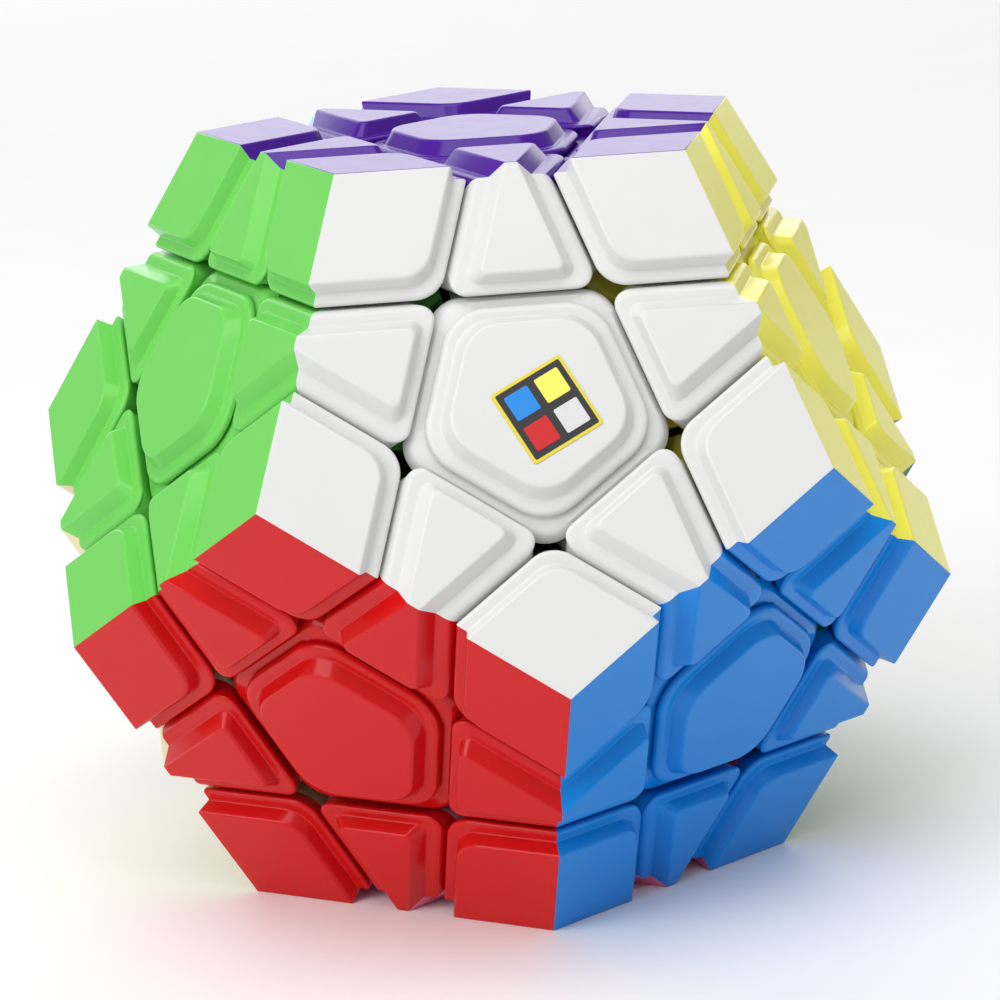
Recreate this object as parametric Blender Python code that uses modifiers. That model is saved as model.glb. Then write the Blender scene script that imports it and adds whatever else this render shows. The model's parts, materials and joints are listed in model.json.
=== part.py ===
"""Twelve-sided, three-layer twisty puzzle: core, screws, springs, centres, edges and corners.

Every piece is cut by planes that lie the same distance from the middle, one above each of the twelve faces.
Outside a sphere round the middle a piece keeps to its side of those planes. Inside the sphere its foot keeps
to its side of a cone round each face's axis, and reaches under its neighbours, which holds it in.
"""

from math import asin, atan, cos, pi, radians, sin, sqrt, tan

import bmesh
import bpy
from mathutils import Matrix, Vector

# Driving dimensions, in metres and radians.
EDGE = 0.030  # edge of the dodecahedron that the raised tile tops lie on
CUT = 0.02265  # distance of each cutting plane from the middle
GAP = 0.0003  # clearance between neighbouring pieces
STEP = 0.0013  # drop from a tile's raised top to its ledge
LEDGE = 0.0020  # from a tile's side wall to its raised top, square to the wall
SHELL = 0.0305  # sphere between the outer blocks, above it, and the feet, below it
SHELL_CLEAR = 0.0002  # clearance to that sphere, on each side
FOOT_CONE = radians(47)  # half angle of the cones that part the feet of two layers
FOOT_INSET = radians(1.4)  # how far a foot's flat side stays inside its own cones
FOOT_OUTSET = radians(0.4)  # how far it stays outside the next layers' cones
FOOT_BOTTOM = 0.0242  # closest that any foot or cup comes to the middle
EDGE_FOOT_TOP = radians(16.2)  # an edge's foot is flat on top, at the height where its dome has this slope
EDGE_FOOT_TAPER = radians(15.6)  # how far its four slanted sides lean
CORNER_FOOT_TOP, CORNER_FOOT_TAPER = radians(12.9), radians(12.5)
CORNER_FOOT_EXTRA = radians(0.4)  # a corner's foot may come this much nearer to its cones
SEAT = 0.0004  # how far solids that are made in one run into each other

CENTRE_TOP = 0.0068  # distance from a centre's axis to the flat sides of its raised top
CENTRE_CORNER = 0.0032  # corner radius of a centre's outline
CENTRE_TOP_CORNER = 0.0036
CENTRE_RUN = 0.00070  # how far its slope runs out while it falls by STEP
CORNER_TIP = 0.0024  # radius of a corner tile's inner tip
CORNER_TOP_TIP = 0.0027
EDGE_TIP = 0.0015  # radius of an edge tile's two inner corners
EDGE_TOP_WIDE = 0.0042  # half width of an edge tile's raised triangle, at its base
EDGE_TOP_NARROW = 0.0009  # and at its blunt tip, on the dodecahedron's edge
EDGE_RUN, EDGE_TOP_CORNER = 0.0009, 0.0007

STEM_R, STEM_TOP = 0.0066, 0.0300  # round cup that hangs under a centre
BORE_R, BORE_BOTTOM, BORE_TOP = 0.0041, 0.0254, 0.0302
HOLE_R = 0.0016  # hole in the cup's floor for the screw
SKIRT_BOTTOM = 0.02995  # underside of a centre's five-sided skirt
CUP_TOP, CAP_BOTTOM = 0.0312, 0.0315
PLUG_R, PLUG_BOTTOM = 0.0037, 0.0304  # boss under a cap that seats in the cup's bore
BALL_R = 0.0090
POST_R, POST_START, POST_END = 0.0026, 0.0070, 0.0195
SHANK_R, HEAD_R, HEAD_START, HEAD_END = 0.0012, 0.0034, 0.0287, 0.0299
SPRING_R, WIRE_R, SPRING_START, SPRING_END, SPRING_TURNS = 0.0028, 0.0003, 0.0258, 0.0283, 3
EDGE_NECK_R, CORNER_NECK_R, NECK_REACH = 0.0048, 0.0017, 0.002
BRIDGE = 0.0018  # half side of the block that joins two pieces held together
BRIDGE_UP = 0.0035  # height of its middle over the sphere

# The dodecahedron's own proportions.
SLANT = atan(2)  # angle between the axes of two neighbouring faces
TO_EDGE = SLANT / 2  # angle from a face's axis to the middle of one of its edges
TO_CORNER = asin(2 / sqrt(3) * sin(TO_EDGE))  # and to one of its corners
FACE = EDGE / 2 * sqrt((25 + 11 * sqrt(5)) / 10)  # distance of each face from the middle
FACE_IN = EDGE / (2 * tan(pi / 5))  # from a face's middle to the middle of its edge
MIDDLE = Vector((0, 0, FACE))

UP = Vector((0, 0, 1))
X_AXIS = Vector((1, 0, 0))
Y_AXIS = Vector((0, 1, 0))

# Each face: azimuth in degrees, ring (2 top, 1 upper, -1 lower, -2 bottom), colour.
FACES = {
    "purple": (0, 2, (0.09, 0.01, 0.35)),
    "white": (-90, 1, (0.85, 0.85, 0.83)),
    "yellow": (-18, 1, (0.85, 0.78, 0.10)),
    "orange": (54, 1, (0.90, 0.25, 0.03)),
    "sky": (126, 1, (0.35, 0.68, 0.86)),
    "green": (198, 1, (0.22, 0.75, 0.16)),
    "blue": (-54, -1, (0.04, 0.22, 0.68)),
    "dark_green": (18, -1, (0.01, 0.22, 0.06)),
    "grey": (90, -1, (0.25, 0.26, 0.28)),
    "cream": (162, -1, (0.83, 0.76, 0.52)),
    "red": (-126, -1, (0.60, 0.02, 0.02)),
    "pink": (0, -2, (0.86, 0.25, 0.42)),
}
TURNING = ("purple", "red", "dark_green")
# Corners at the back that are made in one with some of their edges; no turning layer parts them.
BACK_GROUPS = {
    ("grey", "cream", "sky"): [("grey", "cream"), ("cream", "sky"), ("grey", "sky")],
    ("grey", "cream", "pink"): [("grey", "pink"), ("cream", "pink")],
    ("orange", "sky", "grey"): [("orange", "sky"), ("orange", "grey")],
    ("sky", "green", "cream"): [("sky", "green"), ("green", "cream")],
}


def axis_of(face):
    """Unit vector from the middle out through a face."""
    azimuth, ring, _ = FACES[face]
    if abs(ring) == 2:
        return UP * (ring / 2)
    flat, rise = sin(SLANT), cos(SLANT) * ring
    return Vector((flat * cos(radians(azimuth)), flat * sin(radians(azimuth)), rise))


AXES = {face: axis_of(face) for face in FACES}


def neighbours(face):
    """The five faces round one face."""
    return [other for other in FACES if abs(AXES[face].angle(AXES[other], 0) - SLANT) < 0.01]


# ------------------------------------------------------------------ scene and materials

for old in list(bpy.data.objects):
    bpy.data.objects.remove(old)
PARTS = bpy.data.collections.new("dodecahedron_puzzle")
CUTTERS = bpy.data.collections.new("cutters")
CUTTERS.hide_render = True
for collection in (PARTS, CUTTERS):
    bpy.context.scene.collection.children.link(collection)


def plastic(name, colour, roughness=0.22, metallic=0.0):
    material = bpy.data.materials.new(name)
    material.use_nodes = True
    shader = material.node_tree.nodes["Principled BSDF"]
    shader.inputs["Base Color"].default_value = (*colour, 1)
    shader.inputs["Roughness"].default_value = roughness
    shader.inputs["Metallic"].default_value = metallic
    material.diffuse_color = (*colour, 1)
    return material


PLASTICS = {face: plastic("plastic_" + face, FACES[face][2]) for face in FACES}
BLACK = plastic("plastic_black", (0.02, 0.02, 0.02), 0.4)
STEEL = plastic("spring_steel", (0.55, 0.55, 0.56), 0.3, 1.0)


# ------------------------------------------------------------------ shaping

def block(*limits):
    """A convex solid cut from a cube: each limit is (normal, distance), and keeps what lies below it."""
    bm = bmesh.new()
    bmesh.ops.create_cube(bm, size=4 * EDGE)
    for normal, distance in limits:
        everything = bm.verts[:] + bm.edges[:] + bm.faces[:]
        normal = normal.normalized()
        cut = bmesh.ops.bisect_plane(
            bm,
            geom=everything,
            dist=1e-7,
            plane_co=normal * distance,
            plane_no=normal,
            clear_outer=True,
        )
        rim = [item for item in cut["geom_cut"] if isinstance(item, bmesh.types.BMEdge)]
        if rim:
            bmesh.ops.contextual_create(bm, geom=rim)
    bmesh.ops.remove_doubles(bm, verts=bm.verts, dist=1e-6)
    bmesh.ops.recalc_face_normals(bm, faces=bm.faces)
    return bm


def above(normal, distance):
    """The limit that keeps what lies above a plane."""
    return -normal, -distance


def rounded(first, second, radius, count=1):
    """Limits that round the edge where two limits meet, as count flats tangent to the arc."""
    (a, along_a), (b, along_b) = first, second
    a, b = a.normalized(), b.normalized()
    share = a.dot(b)
    inner_a, inner_b = along_a - radius, along_b - radius
    scale_a = (inner_a - share * inner_b) / (1 - share * share)
    scale_b = (inner_b - share * inner_a) / (1 - share * share)
    pivot = a * scale_a + b * scale_b
    turned = [a.slerp(b, (i + 1) / (count + 1)) for i in range(count)]
    return [(normal, normal.dot(pivot) + radius) for normal in turned]


def tapered(outward, up, run, rise):
    """The outward normal of a flank that runs out by run while it falls by rise."""
    return (outward * rise + up * run).normalized()


def drum(radius, start, end, sides):
    """A cylinder on the local Z axis between two heights."""
    bm = bmesh.new()
    bmesh.ops.create_cone(
        bm,
        cap_ends=True,
        segments=sides,
        radius1=radius,
        radius2=radius,
        depth=end - start,
        matrix=Matrix.Translation((0, 0, (start + end) / 2)),
    )
    return bm


def helper(bm, name="helper"):
    """A hidden object for a Boolean to read."""
    mesh = bpy.data.meshes.new(name)
    bm.to_mesh(mesh)
    bm.free()
    made = bpy.data.objects.new(name, mesh)
    made.hide_render = True
    made.display_type = "WIRE"
    CUTTERS.objects.link(made)
    return made


def applied(made, name):
    """The mesh that an object's modifiers give; the object and its helpers are removed."""
    graph = bpy.context.evaluated_depsgraph_get()
    mesh = bpy.data.meshes.new_from_object(made.evaluated_get(graph))
    mesh.name = name
    used = [m.object for m in made.modifiers if m.type == "BOOLEAN"]
    for item in [made, *used]:
        bpy.data.objects.remove(item)
    return mesh


def combined(name, body, joined=(), removed=()):
    """One mesh: body, united with the solids in joined, less those in removed."""
    made = helper(body, name)
    for operation, solids in (("UNION", joined), ("DIFFERENCE", removed)):
        for solid in solids:
            modifier = made.modifiers.new(operation.title(), "BOOLEAN")
            modifier.operation = operation
            modifier.object = solid if isinstance(solid, bpy.types.Object) else helper(solid)
    return applied(made, name)


def coloured_by(mesh, axes):
    """Gives each face of a mesh the slot of the tile axis that it lies nearest."""
    for polygon in mesh.polygons:
        nearest = [polygon.center.dot(axis) for axis in axes]
        polygon.material_index = nearest.index(max(nearest))


def placed(name, mesh, turn, materials, parent):
    """An object of a shared mesh, turned to its place, with its own material in each slot."""
    made = bpy.data.objects.new(name, mesh)
    while len(mesh.materials) < len(materials):
        mesh.materials.append(None)
    for slot, material in zip(made.material_slots, materials):
        slot.link = "OBJECT"
        slot.material = material
    mesh.shade_smooth()
    mesh.set_sharp_from_angle(angle=radians(32))
    PARTS.objects.link(made)
    made.parent = parent
    made.matrix_basis = turn.to_4x4()
    return made


def frame(up, towards):
    """A turn that takes local Z to up, and local X as near to towards as it can."""
    x = (towards - up * towards.dot(up)).normalized()
    return Matrix((x, up.cross(x), up)).transposed()


# ------------------------------------------------------------------ centres

def ring_axes(tilt, count, start=0.0):
    """Unit vectors at one angle from local Z, evenly spaced round it."""
    turns = [start + 2 * pi * i / count for i in range(count)]
    return [Vector((sin(tilt) * cos(turn), sin(tilt) * sin(turn), cos(tilt))) for turn in turns]


CENTRE_SIDES = ring_axes(SLANT, 5)
CENTRE_FLATS = ring_axes(pi / 2, 5)


def five_sided(bottom, top):
    """A centre's block between two heights, with flared sides and rounded corners."""
    sides = [(side, CUT - GAP / 2) for side in CENTRE_SIDES]
    corners = []
    for i in range(5):
        corners += rounded(sides[i], sides[(i + 1) % 5], CENTRE_CORNER)
    return block(*sides, *corners, (UP, top), above(UP, bottom))


def centre_top():
    """The raised, round-cornered pentagon on a centre."""
    flanks = [tapered(flat, UP, CENTRE_RUN, STEP) for flat in CENTRE_FLATS]
    sides = [
        (flank, flank.dot(flat * CENTRE_TOP + UP * FACE))
        for flank, flat in zip(flanks, CENTRE_FLATS)
    ]
    corners = []
    for i in range(5):
        corners += rounded(sides[i], sides[(i + 1) % 5], CENTRE_TOP_CORNER, 2)
    return block(*sides, *corners, (UP, FACE), above(UP, FACE - STEP - SEAT))


def centre_cutters():
    bore = drum(BORE_R, BORE_BOTTOM, BORE_TOP, 14)
    return [bore, drum(HOLE_R, FOOT_BOTTOM - SEAT, BORE_BOTTOM + SEAT, 8)]


WHOLE_CENTRE = combined(
    "centre",
    five_sided(SKIRT_BOTTOM, FACE - STEP),
    joined=[centre_top(), drum(STEM_R, FOOT_BOTTOM, STEM_TOP + SEAT, 16)],
    removed=centre_cutters(),
)
CUP = combined(
    "centre_cup",
    five_sided(SKIRT_BOTTOM, CUP_TOP),
    joined=[drum(STEM_R, FOOT_BOTTOM, STEM_TOP + SEAT, 16)],
    removed=[drum(BORE_R, BORE_BOTTOM, CUP_TOP + SEAT, 14), centre_cutters()[1]],
)
CAP = combined(
    "centre_cap",
    five_sided(CAP_BOTTOM, FACE - STEP),
    joined=[centre_top(), drum(PLUG_R, PLUG_BOTTOM, CAP_BOTTOM + SEAT, 12)],
)


# ------------------------------------------------------------------ edges

EDGE_OWN = [Vector((side * sin(TO_EDGE), 0, cos(TO_EDGE))) for side in (1, -1)]
EDGE_ENDS = [Vector((0, side * cos(TO_EDGE), sin(TO_EDGE))) for side in (1, -1)]


def beyond(axis, angle):
    """The limit, through the middle, that keeps what lies within angle of axis on the side of local Z."""
    across = (UP - axis * axis.dot(UP)).normalized()
    return across * cos(angle) - axis * sin(angle), 0.0


def short_of(axis, angle):
    """The limit, through the middle, that keeps what lies more than angle from axis."""
    normal, _ = beyond(axis, angle)
    return -normal, 0.0


def edge_block():
    own = [(axis, FACE - STEP) for axis in EDGE_OWN]
    walls = [above(axis, CUT + GAP / 2) for axis in EDGE_OWN]
    ends = [(axis, CUT - GAP / 2) for axis in EDGE_ENDS]
    corners = []
    for wall in walls:
        for end in ends:
            corners += rounded(wall, end, EDGE_TIP)
    return block(*own, *walls, *ends, *corners, above(UP, SHELL + SHELL_CLEAR))


def edge_top():
    """The raised triangle on the tile at +X, run past the dodecahedron's edge to be mirrored there."""
    own, other = EDGE_OWN
    outward = Vector((-cos(TO_EDGE), 0, sin(TO_EDGE)))
    wall = CUT + GAP / 2 + LEDGE
    start = (wall - FACE * cos(SLANT)) / sin(SLANT)
    limits = [(own, FACE), above(other, wall), above(own, FACE - STEP - SEAT), above(X_AXIS, -SEAT)]
    for side in (1, -1):
        lean = (EDGE_TOP_WIDE - EDGE_TOP_NARROW) / (FACE_IN - start)
        flat = (Y_AXIS * side + outward * lean).normalized()
        flank = tapered(flat, own, EDGE_RUN, STEP)
        tip = own * FACE + outward * FACE_IN + Y_AXIS * side * EDGE_TOP_NARROW
        limits.append((flank, flank.dot(tip)))
    base, flanks = limits[1], limits[-2:]
    for flank in flanks:
        limits += rounded(base, flank, EDGE_TOP_CORNER)
    return block(*limits)


def edge_foot():
    """The foot under an edge: it reaches under both of its centres."""
    top = (SHELL - SHELL_CLEAR) * cos(EDGE_FOOT_TOP)
    limits = [beyond(axis, FOOT_CONE - FOOT_INSET) for axis in EDGE_OWN]
    limits += [short_of(axis, FOOT_CONE + FOOT_OUTSET) for axis in EDGE_ENDS]
    for turn in (1, -1):
        for side in (1, -1):
            away = Vector((turn * 0.8, side * 0.6, 0))
            limits.append((away * cos(EDGE_FOOT_TAPER) - UP * sin(EDGE_FOOT_TAPER), 0.0))
    return block(*limits, (UP, top), above(UP, FOOT_BOTTOM))


def mirrored(mesh, name):
    """The half of a mesh at +X and its mirror image, as one mesh."""
    made = bpy.data.objects.new(name, mesh)
    CUTTERS.objects.link(made)
    mirror = made.modifiers.new("Mirror", "MIRROR")
    mirror.use_bisect_axis[0] = True
    mirror.merge_threshold = 1e-5
    mirror.bisect_threshold = 1e-6
    return applied(made, name)


EDGE_MESH = mirrored(
    combined(
        "edge",
        edge_block(),
        joined=[edge_top(), drum(EDGE_NECK_R, SHELL - NECK_REACH, SHELL + NECK_REACH / 2, 8), edge_foot()],
    ),
    "edge",
)


# ------------------------------------------------------------------ corners

CORNER_OWN = ring_axes(TO_CORNER, 3)


def corner_shape(top, wall, tip, bottom):
    own = [(axis, top) for axis in CORNER_OWN]
    walls = [above(axis, wall) for axis in CORNER_OWN]
    tips = []
    for i in range(3):
        tips += rounded(walls[i], walls[(i + 1) % 3], tip)
    return block(*own, *walls, *tips, above(UP, bottom))


def corner_foot():
    """The six-sided foot under a corner: it reaches under its three edges."""
    top = (SHELL - SHELL_CLEAR) * cos(CORNER_FOOT_TOP)
    limits = [beyond(axis, FOOT_CONE - FOOT_INSET + CORNER_FOOT_EXTRA) for axis in CORNER_OWN]
    for axis in CORNER_OWN:
        away = Vector((axis.x, axis.y, 0)).normalized()
        limits.append((away * cos(CORNER_FOOT_TAPER) - UP * sin(CORNER_FOOT_TAPER), 0.0))
    return block(*limits, (UP, top), above(UP, FOOT_BOTTOM))


CORNER_MESH = combined(
    "corner",
    corner_shape(FACE - STEP, CUT + GAP / 2, CORNER_TIP, SHELL + SHELL_CLEAR),
    joined=[
        corner_shape(FACE, CUT + GAP / 2 + LEDGE, CORNER_TOP_TIP, SHELL + NECK_REACH),
        drum(CORNER_NECK_R, SHELL - NECK_REACH, SHELL + NECK_REACH, 8),
        corner_foot(),
    ],
)

for mesh, axes in ((EDGE_MESH, EDGE_OWN), (CORNER_MESH, CORNER_OWN)):
    coloured_by(mesh, axes)


# ------------------------------------------------------------------ core, screws and springs

def turned_post():
    """A core post with its screw, as a profile turned round local Z, lowest point first."""
    profile = [
        (0, HEAD_END),
        (HEAD_R, HEAD_END),
        (HEAD_R, HEAD_START),
        (SHANK_R, HEAD_START),
        (SHANK_R, POST_END),
        (POST_R, POST_END),
        (POST_R, POST_START),
        (0, POST_START),
    ]
    bm = bmesh.new()
    points = [bm.verts.new((x, 0, z)) for x, z in profile]
    for first, second in zip(points, points[1:]):
        bm.edges.new((first, second))
    made = helper(bm, "post")
    screw = made.modifiers.new("Turned", "SCREW")
    screw.steps = screw.render_steps = 8
    screw.use_merge_vertices = True
    screw.merge_threshold = 1e-5
    screw.use_normal_calculate = True
    return applied(made, "post")


def core_mesh():
    post = turned_post()
    posts = bmesh.new()
    for axis in AXES.values():
        copy = post.copy()
        copy.transform(frame(axis, UP if abs(axis.z) < 0.9 else X_AXIS).to_4x4())
        posts.from_mesh(copy)
    ball = bmesh.new()
    bmesh.ops.create_icosphere(ball, subdivisions=2, radius=BALL_R)
    return combined("core", ball, joined=[posts])


def spring_mesh():
    """A compression spring: a coil of wire round local Z."""
    curve = bpy.data.curves.new("spring", "CURVE")
    curve.dimensions = "3D"
    curve.bevel_depth = WIRE_R
    curve.bevel_resolution = 1
    curve.use_fill_caps = True
    count = SPRING_TURNS * 9 + 1
    spline = curve.splines.new("POLY")
    spline.points.add(count - 1)
    for i, point in enumerate(spline.points):
        turn = 2 * pi * SPRING_TURNS * i / (count - 1)
        height = SPRING_START + (SPRING_END - SPRING_START) * i / (count - 1)
        point.co = (SPRING_R * cos(turn), SPRING_R * sin(turn), height, 1)
    made = bpy.data.objects.new("spring", curve)
    CUTTERS.objects.link(made)
    mesh = applied(made, "spring")
    bm = bmesh.new()
    bm.from_mesh(mesh)
    bmesh.ops.remove_doubles(bm, verts=bm.verts, dist=1e-6)
    bmesh.ops.recalc_face_normals(bm, faces=bm.faces)
    bm.to_mesh(mesh)
    bm.free()
    return mesh


SPRING = spring_mesh()


# ------------------------------------------------------------------ assembly

def holder(name, face=None):
    """An empty at the middle; local Z lies along the axis that its layer turns on."""
    empty = bpy.data.objects.new(name, None)
    empty.empty_display_size = EDGE / 2
    empty.location = MIDDLE
    if face:
        axis = AXES[face]
        empty.rotation_mode = "QUATERNION"
        empty.rotation_quaternion = frame(axis, AXES[neighbours(face)[0]]).to_quaternion()
    PARTS.objects.link(empty)
    return empty


FIXED = holder("fixed_pieces")
LAYERS = {face: holder("layer_" + face, face) for face in TURNING}


def owner(faces):
    """The holder of the piece whose tiles lie on these faces."""
    for face in faces:
        if face in LAYERS:
            return LAYERS[face]
    return FIXED


def put(name, mesh, up, towards, faces, materials):
    """Places a piece under its holder, whatever way the holder is turned."""
    parent = owner(faces)
    parent_turn = parent.rotation_quaternion.to_matrix() if parent is not FIXED else Matrix.Identity(3)
    turn = parent_turn.transposed() @ frame(up, towards)
    return placed(name, mesh, turn, materials, parent)


def edge_frame(first, second):
    return (AXES[first] + AXES[second]).normalized(), AXES[first]


def all_edges():
    names = list(FACES)
    return [(a, b) for i, a in enumerate(names) for b in names[i + 1 :] if b in neighbours(a)]


def all_corners():
    """Each corner's three faces, anticlockwise as seen from outside."""
    found = []
    for a, b in all_edges():
        for c in list(FACES)[list(FACES).index(b) + 1 :]:
            if c in neighbours(a) and c in neighbours(b):
                facing = AXES[a].cross(AXES[b]).dot(AXES[c]) > 0
                found.append((a, b, c) if facing else (a, c, b))
    return found


put("core_with_screws", core_mesh(), UP, X_AXIS, (), [BLACK])

for face in FACES:
    side = AXES[neighbours(face)[0]]
    if face in TURNING:
        put("centre_cup_" + face, CUP, AXES[face], side, (face,), [PLASTICS[face]])
        put("centre_cap_" + face, CAP, AXES[face], side, (face,), [PLASTICS[face]])
        put("spring_" + face, SPRING, AXES[face], side, (face,), [STEEL])
    else:
        put("centre_" + face, WHOLE_CENTRE, AXES[face], side, (face,), [PLASTICS[face]])

grouped_edges = {frozenset(pair) for pairs in BACK_GROUPS.values() for pair in pairs}
grouped_corners = {frozenset(faces) for faces in BACK_GROUPS}

for pair in all_edges():
    if frozenset(pair) in grouped_edges:
        continue
    up, towards = edge_frame(*pair)
    put("edge_" + "_".join(pair), EDGE_MESH, up, towards, pair, [PLASTICS[f] for f in pair])

for faces in all_corners():
    if frozenset(faces) in grouped_corners:
        continue
    up = sum((AXES[f] for f in faces), Vector()).normalized()
    put("corner_" + "_".join(faces), CORNER_MESH, up, AXES[faces[0]], faces, [PLASTICS[f] for f in faces])


def turned_copy(mesh, turn):
    """A helper object holding a mesh in the puzzle's own directions."""
    bm = bmesh.new()
    bm.from_mesh(mesh)
    bm.transform(turn.to_4x4())
    return helper(bm, "turned")


def bridge(corner_up, edge_up, wall):
    """A small block across the gap between a corner and an edge, below their ledges."""
    middle = (corner_up + edge_up).normalized()
    spot = middle * (SHELL + BRIDGE_UP)
    spot += wall * (CUT - spot.dot(wall))
    limits = []
    for direction in frame(middle, wall).transposed():
        for side in (direction, -direction):
            limits.append((side, side.dot(spot) + BRIDGE))
    return block(*limits)


for faces, pairs in BACK_GROUPS.items():
    up = sum((AXES[f] for f in faces), Vector()).normalized()
    body = bmesh.new()
    body.from_mesh(CORNER_MESH)
    body.transform(frame(up, AXES[faces[0]]).to_4x4())
    joined = []
    for pair in pairs:
        edge_up, towards = edge_frame(*pair)
        third = next(f for f in faces if f not in pair)
        joined.append(bridge(up, edge_up, AXES[third]))
        joined.append(turned_copy(EDGE_MESH, frame(edge_up, towards)))
    name = "corner_" + "_".join(faces) + "_with_edges"
    mesh = combined(name, body, joined=joined)
    coloured_by(mesh, [AXES[f] for f in FACES])
    put(name, mesh, UP, X_AXIS, (), list(PLASTICS.values()))
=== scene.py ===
"""Looks of a twelve-sided, three-layer twisty puzzle, built from the core out to the coloured tiles."""

import json
from math import asin, atan, atan2, cos, pi, radians, sin, sqrt, tan

import bmesh
import bpy
from mathutils import Matrix, Vector

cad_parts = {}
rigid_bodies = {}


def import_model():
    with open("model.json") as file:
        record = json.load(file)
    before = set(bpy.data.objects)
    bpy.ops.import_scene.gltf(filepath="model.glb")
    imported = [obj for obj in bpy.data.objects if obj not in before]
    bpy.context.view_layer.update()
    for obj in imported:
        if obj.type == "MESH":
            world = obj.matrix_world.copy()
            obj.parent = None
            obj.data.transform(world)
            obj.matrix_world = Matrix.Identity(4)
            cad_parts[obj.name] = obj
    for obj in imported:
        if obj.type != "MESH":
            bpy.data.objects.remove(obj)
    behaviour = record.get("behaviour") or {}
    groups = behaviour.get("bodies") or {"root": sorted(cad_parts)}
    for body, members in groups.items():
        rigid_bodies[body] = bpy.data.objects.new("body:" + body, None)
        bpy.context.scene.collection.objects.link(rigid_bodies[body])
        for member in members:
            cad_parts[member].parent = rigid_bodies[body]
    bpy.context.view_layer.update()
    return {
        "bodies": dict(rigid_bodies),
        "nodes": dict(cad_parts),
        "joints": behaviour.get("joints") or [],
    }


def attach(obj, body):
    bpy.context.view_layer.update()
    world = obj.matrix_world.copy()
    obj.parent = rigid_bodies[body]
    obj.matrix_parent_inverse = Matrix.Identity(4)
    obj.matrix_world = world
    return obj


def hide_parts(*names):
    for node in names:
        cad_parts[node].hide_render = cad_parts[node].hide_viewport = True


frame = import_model()


# ---------------------------------------------------------------- core
# The core is one black nylon moulding: a ball with a hollow post towards each of the twelve faces.
# It sits loose in the middle of the puzzle; a screw in each post holds one centre down on it.

MM = 0.001
MIDDLE = Vector(frame["joints"][0]["pos_m"])
FACE = MIDDLE.z  # from the middle to each face
SLANT = atan(2)  # angle between the axes of two neighbouring faces
UP = Vector((0, 0, 1))
ROOT = frame["joints"][0]["parent"]

# Each face: azimuth in degrees, and ring (2 top, 1 upper, -1 lower, -2 bottom).
FACES = {
    "purple": (0, 2),
    "white": (-90, 1),
    "yellow": (-18, 1),
    "orange": (54, 1),
    "sky": (126, 1),
    "green": (198, 1),
    "blue": (-54, -1),
    "dark_green": (18, -1),
    "grey": (90, -1),
    "cream": (162, -1),
    "red": (-126, -1),
    "pink": (0, -2),
}


def axis_of(face):
    """Unit vector from the middle out through a face."""
    azimuth, ring = FACES[face]
    if abs(ring) == 2:
        return UP * (ring / 2)
    flat = sin(SLANT)
    return Vector((flat * cos(radians(azimuth)), flat * sin(radians(azimuth)), cos(SLANT) * ring))


AXES = {face: axis_of(face) for face in FACES}


def neighbours(face):
    """The five faces round one face."""
    return [other for other in FACES if abs(AXES[face].angle(AXES[other], 0) - SLANT) < 0.01]


def facing(up, towards):
    """The turn that takes local Z to up, and local X as near to towards as it can."""
    x = (towards - up * towards.dot(up)).normalized()
    return Matrix((x, up.cross(x), up)).transposed()


def circle(radius, height, count):
    """A ring of points round the axis at one height."""
    turns = [2 * pi * i / count for i in range(count)]
    return [Vector((radius * cos(turn), radius * sin(turn), height)) for turn in turns]


def loft(bm, rings, closed=True, slot=0):
    """Quads from ring to ring, top ring first; every ring has as many points, anticlockwise from above."""
    rows = [[bm.verts.new(point) for point in ring] for ring in rings]
    count = len(rows[0])
    for upper, lower in zip(rows, rows[1:]):
        for i in range(count):
            j = (i + 1) % count
            bm.faces.new((upper[i], lower[i], lower[j], upper[j])).material_index = slot
    if closed:
        bm.faces.new(rows[0]).material_index = slot
        bm.faces.new(rows[-1][::-1]).material_index = slot


SHARP = 32  # degrees; edges sharper than this stay crisp


def finished(bm, name, sharp=SHARP):
    """A smooth-shaded mesh from bm, with edges sharper than the given angle kept crisp."""
    bmesh.ops.recalc_face_normals(bm, faces=bm.faces)
    mesh = bpy.data.meshes.new(name)
    bm.to_mesh(mesh)
    bm.free()
    mesh.shade_smooth()
    mesh.set_sharp_from_angle(angle=radians(sharp))
    return mesh


def united(body, others, name, operation="UNION"):
    """One mesh: body with each of the others joined to it or cut from it."""
    made = bpy.data.objects.new(name, finished(body, name))
    bpy.context.scene.collection.objects.link(made)
    cutters = []
    for other in others:
        cutter = bpy.data.objects.new("cutter", finished(other, "cutter"))
        bpy.context.scene.collection.objects.link(cutter)
        cutters.append(cutter)
        joining = made.modifiers.new("Joined", "BOOLEAN")
        joining.operation = operation
        joining.object = cutter
    graph = bpy.context.evaluated_depsgraph_get()
    mesh = bpy.data.meshes.new_from_object(made.evaluated_get(graph))
    for item in [made, *cutters]:
        bpy.data.objects.remove(item)
    mesh.shade_smooth()
    mesh.set_sharp_from_angle(angle=radians(SHARP))
    return mesh


class Wire:
    """One value in a material's nodes; Python's + and * on it add Math nodes."""

    def __init__(self, finish, socket):
        self.finish, self.socket = finish, socket

    def reckon(self, operation, first, second):
        return self.finish.node("ShaderNodeMath", {"operation": operation}, {0: first, 1: second})

    def __add__(self, other):
        return self.reckon("ADD", self, other)

    def __mul__(self, other):
        return self.reckon("MULTIPLY", self, other)

    __radd__ = __add__
    __rmul__ = __mul__


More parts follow.
